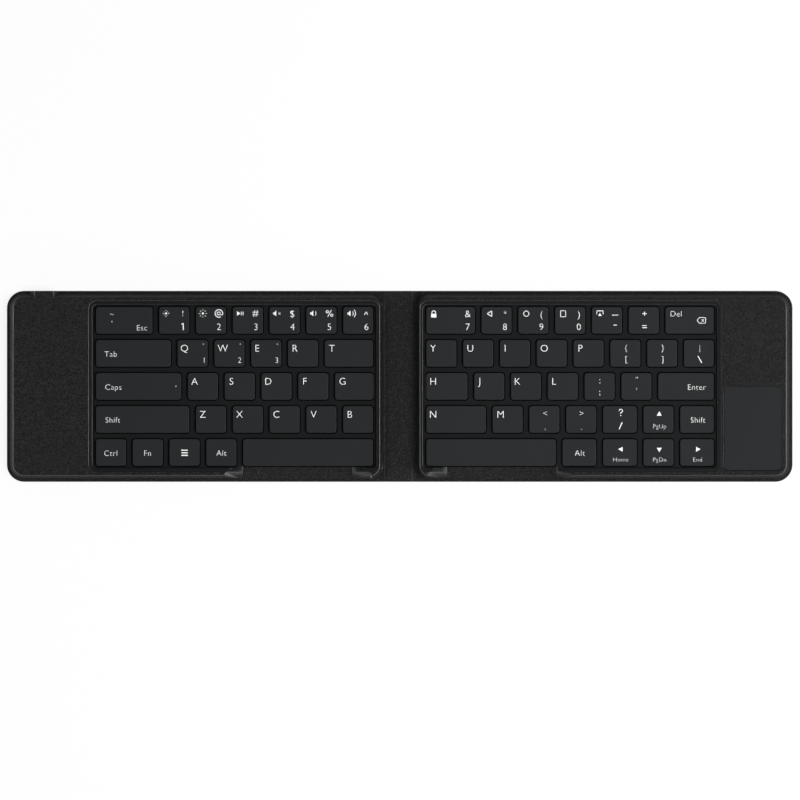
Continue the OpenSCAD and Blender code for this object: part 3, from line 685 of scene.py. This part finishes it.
for side, sign in (("left", -1), ("right", 1)):
    bm = merged(side + "_cover_skin")
    foot = [e for e in bm.edges if max(v.co.z for v in e.verts) < near_table
            and min(abs(v.co.x) for v in e.verts) > seam_x and e.calc_face_angle() > 1]
    bevel(bm, foot, foot_round, segments=3)
    cut_at(bm, seam_x, sign)
    shaped(side + "_cover_leather", bm, side + "_half", black_leather,
           [side + "_cover_skin"])
    bm = merged(side + "_deck_skin")
    cut_at(bm, seam_x, sign)
    shaped(side + "_deck_leather", bm, side + "_half", black_leather,
           [side + "_deck_skin"], sharp=50)

# ---------------------------------------------------------------- leather spine
# Between the halves the two sheets run on with thin stiffener boards between them. Each
# crease is a pressed groove in which the leather bends a quarter turn when it is closed.

# Painted light: the same leather painted lighter where the spine lies in the shade between the
# halves, with a weaker painted highlight on its edges.
spine_leather_lightened = leather("spine_leather_lightened", (0.0184, 0.0184, 0.0184), 0.46, highlight_gain=1.6, pebbles=1700,
                        depth=0.6)
crease_x = 6.15 * MM
groove_depth = 0.14 * MM
groove_half = 0.55 * MM
board_x = 5.15 * MM
board_top = 0.8 * MM
step_x = 4.95 * MM
step_run = 0.8 * MM
spine_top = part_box("spine_inner_skin")[1].z
ribbon_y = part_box("ribbon_cable")[1].y + 0.15 * MM
ribbon_top = 0.72 * MM
end_round = 0.18 * MM


# For each crease: its half, its side of the middle, the two bodies that it joins, and where
# the bend between them starts and ends.
bend_from, bend_to = 6.95 * MM, 5.35 * MM
CREASES = [("left", -1, ("left_half", "spine"), bend_from, bend_to),
           ("right", 1, ("spine", "right_half"), bend_to, bend_from)]


def strip_through(stations, outline_at, sign):
    """One half of a sheet of the spine, skinned through stations along Y. outline_at gives
    the outline in (x, z) at a station."""
    bm = bmesh.new()
    rings = []
    for y in stations:
        rings.append([bm.verts.new((sign * x, y, z)) for x, z in outline_at(y)])
    for ring in rings:
        for i in range(len(ring)):
            bm.edges.new((ring[i - 1], ring[i]))
    edges = bm.edges[:]
    n = len(rings[0])
    for i in range(len(rings) - 1):
        bmesh.ops.bridge_loops(bm, edges=edges[i * n:(i + 2) * n])
    bmesh.ops.edgeloop_fill(bm, edges=edges[:n])
    bmesh.ops.edgeloop_fill(bm, edges=edges[-n:])
    return bm


def ease(t):
    """Runs softly from 0 to 1."""
    t = min(max(t, 0), 1)
    return t * t * (3 - 2 * t)


def inner_top(x):
    """Height of the upper sheet: over the board, down a step, through the pressed groove and
    on to the hem."""
    groove = groove_depth * (1 - ease(abs(x - crease_x) / groove_half))
    step = (spine_top - hem_top) * (1 - ease((x - step_x) / step_run))
    return hem_top + step - groove


# Stations across the strip in mm, close together where the leather bends.
STEPS = [0, 2.5, 4.6, 4.8, 4.95, 5.1, 5.25, 5.4, 5.5, 5.6, 5.7, 5.8, 5.9, 6.0, 6.08, 6.15, 6.22,
         6.3, 6.4, 6.5, 6.6, 6.7, 6.8, 7.0]


def rounded_end(y):
    """How much the sheet is thinned at a station near the front or the back."""
    inward = end_round - min(outer_y - abs(y), end_round)
    return end_round - math.sqrt(max(0.0, end_round ** 2 - inward ** 2))


def upper_outline(y):
    """The sheet over the boards, which leaves room for the ribbon in the middle."""
    thinned = rounded_end(y)
    low = ribbon_top if abs(y) < ribbon_y else skin
    over = [(x * MM, inner_top(x * MM) - thinned) for x in STEPS]
    under = [(x * MM, board_top if x * MM <= board_x else low) for x in reversed(STEPS)]
    return over + under


def lower_outline(y):
    """The flat sheet under the boards."""
    thinned = rounded_end(y)
    return [(x * MM, skin) for x in STEPS] + [(x * MM, thinned) for x in reversed(STEPS)]


ribbon_edge = 0.01 * MM
edge_stations = [outer_y - d * MM for d in (0, 0.02, 0.05, 0.1, 0.18)]
lower_stations = sorted([-y for y in edge_stations] + edge_stations)
upper_stations = sorted(lower_stations + [-ribbon_y, -ribbon_y + ribbon_edge,
                                          ribbon_y - ribbon_edge, ribbon_y])
SHEETS = [("upper", spine_leather_lightened, upper_stations, upper_outline, "spine_inner_skin"),
          ("lower", black_leather, lower_stations, lower_outline, "spine_cover_skin")]
for side, sign, bodies, start, end in CREASES:
    for level, material, stations, outline_at, node in SHEETS:
        strip = shaped(side + "_spine_" + level, strip_through(stations, outline_at, sign), None,
                       material, [node], weighted=False)
        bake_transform(strip)

# ---------------------------------------------------------------- spine boards and ribbon
# Two fibre boards keep the spine flat. A polyimide ribbon carries the right half's key
# matrix to the main board and bends with the creases.

fibre_board = moulded("fibre_board", (0.12, 0.11, 0.1), 0.7, size=900, depth=0.4)
finish_node("spine_boards", fibre_board)
polyimide = moulded("polyimide", (0.014, 0.012, 0.008), 0.3, size=600, depth=0.05)
bend_cuts = (bend_to, 5.7 * MM, crease_x, 6.5 * MM, bend_from)
for side, sign, bodies, start, end in CREASES:
    bm = bmesh.new()
    bm.from_mesh(nodes["ribbon_cable"].data)
    bmesh.ops.remove_doubles(bm, verts=bm.verts, dist=weld)
    cut_at(bm, 0, sign)
    for x in bend_cuts:
        cut_at(bm, x, sign, keep_both=True)
    ribbon = shaped(side + "_ribbon", bm, None, polyimide, ["ribbon_cable"],
                    weighted=False)
    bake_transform(ribbon)

# ---------------------------------------------------------------- touchpad
# A smooth matt cover of black polycarbonate, let flush into the leather of the right deck
# and pressed from below by its sensor board.

pad_plastic = moulded("pad_plastic", (0.0112, 0.0127, 0.0142), 0.48, size=4500, depth=0.12,
                      spread=0.05, specular=0.08)
pad_corner = 2.0 * MM
pad_edge = 0.15 * MM
bm = bmesh.new()
plate = box_of(bm, *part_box("touchpad"))
bevel(bm, edges_along(plate, 2), pad_corner, segments=10)
top = max(bm.faces, key=lambda f: f.calc_center_median().z + f.normal.z)
bevel(bm, list(top.edges), pad_edge, segments=3)
shaped("touchpad_cover", bm, "right_half", pad_plastic, ["touchpad"])

# ---------------------------------------------------------------- legends
# White legends printed on the caps and baked in, each a thin raised film of ink. Words are
# set in plain type; the signs of the function keys are drawn.

legend_ink = moulded("legend_ink", (0.88, 0.88, 0.88), 0.6, size=5000, depth=0.05, spread=0.05)
ink_lift = 0.012 * MM
letter_h, digit_h, word_h, small_h = 3.2, 3.05, 2.55, 1.95
sign_h, dense_h = 2.6, 3.1
stroke = 0.34


def letter(character, x=2.95, y=3.55):
    """A letter in the back left corner of its cap."""
    return (character, letter_h, x, y)


# For every cap of a node, the list of what is printed on it: words and their height, or the
# name of a drawn sign and a 1, then its middle from the cap's left and back edge, all in mm.
LEGENDS = {
    "esc_key": [[("~", 2.6, 7.0, 2.9), ("'", 2.6, 7.0, 7.3), ("Esc", word_h, 20.0, 9.0)]],
    "keys_1_to_6": [
        [("sun_low", 1, 3.0, 2.9), ("!", sign_h, 10.3, 2.8), ("one", 1, 10.35, 8.6)],
        [("sun_high", 1, 3.05, 2.9), ("at", 1, 10.0, 2.9), ("2", digit_h, 10.0, 8.6)],
        [("play", 1, 3.15, 2.9), ("hash", 1, 9.9, 2.9), ("3", digit_h, 10.1, 8.6)],
        [("mute", 1, 3.3, 2.9), ("$", dense_h, 9.85, 2.9), ("4", digit_h, 10.0, 8.6)],
        [("quieter", 1, 3.4, 2.9), ("percent", 1, 10.1, 2.9), ("5", digit_h, 10.05, 8.6)],
        [("louder", 1, 3.6, 2.9), ("caret", 1, 10.0, 2.8), ("6", digit_h, 10.15, 8.6)],
    ],
    "tab_key": [[("Tab", word_h, 6.5, 6.1)]],
    "keys_q_to_r": [
        [letter("Q", 3.0), ("1", word_h, 11.65, 8.75), ("lamp", 1, 11.2, 1.85)],
        [letter("W", 3.7), ("2", word_h, 11.0, 8.75), ("lamp", 1, 11.3, 1.85)],
        [letter("E", 2.6), ("3", word_h, 11.2, 8.75), ("lamp", 1, 11.35, 1.85)],
        [letter("R", 3.0)],
    ],
    "key_t": [[letter("T", 3.1)]],
    "caps_key": [[("Caps", word_h, 7.6, 6.1), ("lamp", 1, 34.8, 5.8)]],
    "keys_a_to_f": [[letter("A")], [letter("S")], [letter("D")], [letter("F", 2.8)]],
    "key_g": [[letter("G", 3.3)]],
    "left_shift_key": [[("Shift", word_h, 7.3, 6.0)]],
    "keys_z_to_b": [[letter("Z")], [letter("X")], [letter("C", 3.0)], [letter("V", 3.2)],
                    [letter("B", 2.85)]],
    "ctrl_key": [[("Ctrl", word_h, 6.5, 6.1)]],
    "fn_key": [[("Fn", word_h, 6.5, 6.1)]],
    "menu_key": [[("menu", 1, 6.6, 6.0)]],
    "left_alt_key": [[("Alt", word_h, 6.6, 6.0)]],
    "key_7": [[("lock", 1, 3.25, 3.0), ("&", dense_h, 18.05, 3.0), ("7", digit_h, 18.0, 8.6)]],
    "keys_8_to_equals": [
        [("back", 1, 3.6, 3.0), ("*", sign_h, 10.25, 2.9), ("8", digit_h, 10.2, 8.6)],
        [("home", 1, 3.5, 3.0), ("(", dense_h, 10.05, 3.1), ("9", digit_h, 10.05, 8.6)],
        [("recent", 1, 3.5, 3.0), (")", dense_h, 10.4, 3.1), ("0", digit_h, 10.3, 8.6)],
        [("print", 1, 3.5, 2.95), ("underline", 1, 10.15, 3.6), ("minus", 1, 10.15, 7.95)],
        [("plus", 1, 6.9, 3.0), ("equal", 1, 6.9, 8.65)],
    ],
    "backspace_key": [[("Del", word_h, 4.6, 2.95), ("erase", 1, 15.7, 5.9)]],
    "keys_y_to_backslash": [
        [letter("Y")], [letter("U", 3.15)], [letter("I", 2.3)], [letter("O", 3.3)], [letter("P")],
        [("{", sign_h, 6.85, 3.4), ("[", sign_h, 6.85, 8.2)],
        [("}", sign_h, 6.85, 3.4), ("]", sign_h, 6.85, 8.2)],
        [("|", sign_h, 6.95, 3.4), ("backslash", 1, 6.95, 8.5)],
    ],
    "key_h": [[letter("H", 3.0)]],
    "keys_j_to_quote": [
        [letter("J", 2.5)], [letter("K", 2.8)], [letter("L", 2.7)],
        [(":", 2.9, 6.65, 3.1), (";", 2.9, 6.65, 8.2)],
        [('"', sign_h, 6.7, 3.0), ("'", sign_h, 6.7, 8.0)],
    ],
    "enter_key": [[("Enter", word_h, 16.75, 6.1)]],
    "key_n": [[letter("N", 3.0)]],
    "keys_m_to_period": [
        [letter("M", 3.5)],
        [("<", sign_h, 6.9, 3.15), (",", sign_h, 6.9, 9.0)],
        [(">", sign_h, 6.75, 3.15), (".", sign_h, 6.75, 9.0)],
    ],
    "slash_key": [[("question", 1, 7.75, 2.9), ("slash", 1, 7.75, 8.6)]],
    "up_key": [[("up", 1, 6.9, 3.6), ("PgUp", small_h, 7.05, 8.8)]],
    "right_shift_key": [[("Shift", word_h, 7.7, 6.0)]],
    "right_alt_key": [[("Alt", word_h, 7.6, 6.0)]],
    "left_arrow_key": [[("left", 1, 7.95, 4.45), ("Home", small_h, 7.75, 8.9)]],
    "down_arrow_key": [[("down", 1, 6.9, 4.45), ("PgDn", small_h, 7.05, 8.9)]],
    "right_arrow_key": [[("right", 1, 7.55, 4.45), ("End", small_h, 7.55, 8.9)]],
}


def bar(bm, start, end, width=stroke):
    """A printed stroke between two points, in mm."""
    start, end = Vector(start), Vector(end)
    along = end - start
    turn = Matrix.Rotation(math.atan2(along.y, along.x), 4, "Z")
    size = Matrix.Diagonal((along.length / 2, width / 2, 1, 1))
    middle = ((start + end) / 2).to_3d()
    bmesh.ops.create_grid(bm, x_segments=1, y_segments=1, size=1,
                          matrix=Matrix.Translation(middle) @ turn @ size)


def arc(bm, middle, radius, start=0, sweep=360, width=stroke):
    """A printed ring or a part of one, angles in degrees."""
    steps = max(4, int(sweep / 12))
    turn = Matrix.Rotation(math.radians(start), 4, "Z")
    ends = [Matrix.Translation((*middle, 0)) @ turn @ Vector((r, 0, 0))
            for r in (radius - width / 2, radius + width / 2)]
    edge = bm.edges.new([bm.verts.new(v) for v in ends])
    bmesh.ops.spin(bm, geom=[edge] + list(edge.verts), cent=(*middle, 0), axis=(0, 0, 1),
                   dvec=(0, 0, 0), angle=math.radians(sweep), steps=steps,
                   use_merge=sweep == 360, use_duplicate=False)


def dot(bm, middle, radius, corners=20, turn=0, tall=1):
    """A filled dot, or a filled triangle if it has 3 corners."""
    place = (Matrix.Translation((*middle, 0)) @ Matrix.Diagonal((1, tall, 1, 1))
             @ Matrix.Rotation(math.radians(turn), 4, "Z"))
    bmesh.ops.create_circle(bm, cap_ends=True, radius=radius, segments=corners, matrix=place)


def frame_of(bm, points, width=stroke):
    """A closed line through some points."""
    for i in range(len(points)):
        bar(bm, points[i - 1], points[i], width)


def speaker(bm):
    """The magnet and the cone that the sound signs share."""
    bar(bm, (-1.75, 0), (-1.25, 0), 0.9)
    dot(bm, (-0.8, 0), 0.85, 3, 90, 1.7)


def icon(bm, name):
    """A generic sign of a function key, drawn round the origin in mm."""
    if name in ("sun_low", "sun_high"):
        far = 1.45 if name == "sun_low" else 1.8
        dot(bm, (0, 0), 0.46)
        for k in range(8):
            way = Vector((math.cos(k * math.pi / 4), math.sin(k * math.pi / 4)))
            reach = far * 0.8 if k % 2 and name == "sun_low" else far
            bar(bm, way * far * 0.64, way * reach, 0.17)
    if name == "one":
        bar(bm, (0.15, -1.5), (0.15, 1.5), 0.42)
        bar(bm, (0, 1.35), (-0.65, 0.9), 0.34)
    if name == "play":
        dot(bm, (-0.75, 0), 1.05, 3, -90)
        bar(bm, (0.6, -0.8), (0.6, 0.8), 0.24)
        bar(bm, (1.35, -0.8), (1.35, 0.8), 0.3)
    if name in ("mute", "quieter", "louder"):
        speaker(bm)
    if name == "mute":
        bar(bm, (0.55, -0.45), (1.4, 0.45), 0.2)
        bar(bm, (0.55, 0.45), (1.4, -0.45), 0.2)
    if name in ("quieter", "louder"):
        arc(bm, (-0.8, 0), 1.6, -35, 70, 0.26)
    if name == "louder":
        arc(bm, (-0.8, 0), 2.6, -38, 76, 0.3)
    if name == "at":
        arc(bm, (0, 0), 1.65, -25, 325, 0.34)
        arc(bm, (-0.1, 0), 0.65, width=0.32)
        bar(bm, (0.6, 0.7), (0.6, -0.55), 0.3)
        bar(bm, (0.6, -0.6), (1.4, -0.6), 0.28)
    if name == "hash":
        for side in (-1, 1):
            bar(bm, (side * 0.55 - 0.3, -1.4), (side * 0.55 + 0.3, 1.4), 0.28)
            bar(bm, (-1.35, side * 0.55), (1.35, side * 0.55), 0.26)
    if name == "percent":
        arc(bm, (-0.95, 0.75), 0.5, width=0.28)
        arc(bm, (0.95, -0.75), 0.5, width=0.28)
        bar(bm, (-0.8, -1.5), (0.8, 1.5), 0.28)
    if name == "caret":
        bar(bm, (-0.75, -0.65), (0, 0.65), 0.3)
        bar(bm, (0, 0.65), (0.75, -0.65), 0.3)
    if name == "lock":
        bar(bm, (-1.15, -0.85), (1.15, -0.85), 1.6)
        arc(bm, (0, 0.5), 0.78, 0, 180, 0.34)
        bar(bm, (-0.78, -0.1), (-0.78, 0.5), 0.34)
        bar(bm, (0.78, -0.1), (0.78, 0.5), 0.34)
    if name == "back":
        frame_of(bm, [(-1.2, 0), (0.9, 1.2), (0.9, -1.2)])
    if name == "home":
        arc(bm, (0, 0), 1.15, width=0.28)
    if name == "recent":
        frame_of(bm, [(-1.1, -1.3), (1.1, -1.3), (1.1, 1.3), (-1.1, 1.3)], 0.26)
    if name == "print":
        bar(bm, (-1.5, 1.2), (1.5, 1.2), 0.3)
        bar(bm, (-1.35, 1.2), (-1.35, -0.3), 0.28)
        bar(bm, (1.35, 1.2), (1.35, -0.3), 0.28)
        dot(bm, (0, -0.55), 0.9, 3)
    if name == "erase":
        frame_of(bm, [(-1.95, 0), (-0.95, 1.2), (1.75, 1.2), (1.75, -1.2), (-0.95, -1.2)], 0.24)
        bar(bm, (0, -0.5), (1.0, 0.5), 0.22)
        bar(bm, (0, 0.5), (1.0, -0.5), 0.22)
    if name == "question":
        arc(bm, (0, 0.75), 0.72, -75, 245, 0.34)
        bar(bm, (0.1, 0.15), (0, -0.5), 0.34)
        dot(bm, (0, -1.3), 0.24)
    if name in ("slash", "backslash"):
        lean = 0.65 if name == "slash" else -0.8
        bar(bm, (-lean, -1.5), (lean, 1.5), 0.36)
    if name in ("minus", "underline"):
        reach = 0.8 if name == "minus" else 1.35
        bar(bm, (-reach, 0), (reach, 0), 0.3)
    if name == "equal":
        bar(bm, (-1.0, 0.45), (1.0, 0.45), 0.3)
        bar(bm, (-1.0, -0.45), (1.0, -0.45), 0.3)
    if name == "plus":
        bar(bm, (-1.0, 0), (1.0, 0), 0.3)
        bar(bm, (0, 0.15), (0, 0.9), 0.3)
        bar(bm, (0, -0.9), (0, -0.15), 0.3)
    if name == "menu":
        for y in (-1.1, 0, 1.1):
            bar(bm, (-1.4, y), (1.4, y), 0.45)
    turns = {"right": -90, "up": 0, "left": 90, "down": 180}
    if name in turns:
        dot(bm, (0, 0), 1.25, 3, turns[name])


# The typeface's capital height at size 1, and how far its outlines are drawn in, in mm.
capital = 0.729
drawn_in = 0.062


def words(bm, text, height):
    """Text round the origin in mm, with capitals of this height."""
    curve = bpy.data.curves.new("words", "FONT")
    curve.body = text
    curve.align_x = "CENTER"
    curve.size = height / capital
    curve.resolution_u = 3
    curve.offset = -drawn_in
    curve.space_character = 1.06
    holder = bpy.data.objects.new("words", curve)
    flat = bpy.data.meshes.new_from_object(holder)
    flat.transform(Matrix.Translation((0, -height / 2, 0)))
    bm.from_mesh(flat)
    bpy.data.objects.remove(holder)
    bpy.data.curves.remove(curve)
    bpy.data.meshes.remove(flat)


lamps = {}
for side, name, count in KEYS:
    if name not in LEGENDS:
        continue
    ink = bmesh.new()
    for (low, high), marks in zip(cap_boxes(name, count), LEGENDS[name]):
        for what, height, x, y in marks:
            place = Matrix.Translation((low.x + x * MM, high.y - y * MM, high.z))
            if what == "lamp":
                lamps.setdefault(name, []).append(place)
                continue
            mark = bmesh.new()
            if len(what) > 1 and height == 1:
                icon(mark, what)
            else:
                words(mark, what, height)
            mark.transform(place @ Matrix.Scale(MM, 4))
            marked = bpy.data.meshes.new("mark")
            mark.to_mesh(marked)
            mark.free()
            ink.from_mesh(marked)
            bpy.data.meshes.remove(marked)
    raised = bmesh.ops.extrude_face_region(ink, geom=ink.faces[:])["geom"]
    bmesh.ops.translate(ink, vec=(0, 0, ink_lift),
                        verts=[v for v in raised if isinstance(v, bmesh.types.BMVert)])
    shaped(name + "_legends", ink, name + "_body", legend_ink, weighted=False)

# ---------------------------------------------------------------- signal lamps
# Small light guides of milky plastic in the caps: one for capitals, three for the paired
# devices. They are dark when the keyboard is off.

milky = moulded("milky_plastic", (0.24, 0.245, 0.25), 0.4)
lamp_r = 0.4
lamp_rise = 0.06
for name, places in lamps.items():
    bm = bmesh.new()
    for place in places:
        lens = bmesh.ops.create_cone(bm, cap_ends=True, segments=20, radius1=lamp_r,
                                     radius2=lamp_r * 0.8, depth=lamp_rise)
        bmesh.ops.transform(bm, matrix=place @ Matrix.Scale(MM, 4), verts=lens["verts"])
    shaped(name + "_lamps", bm, name + "_body", milky, weighted=False)
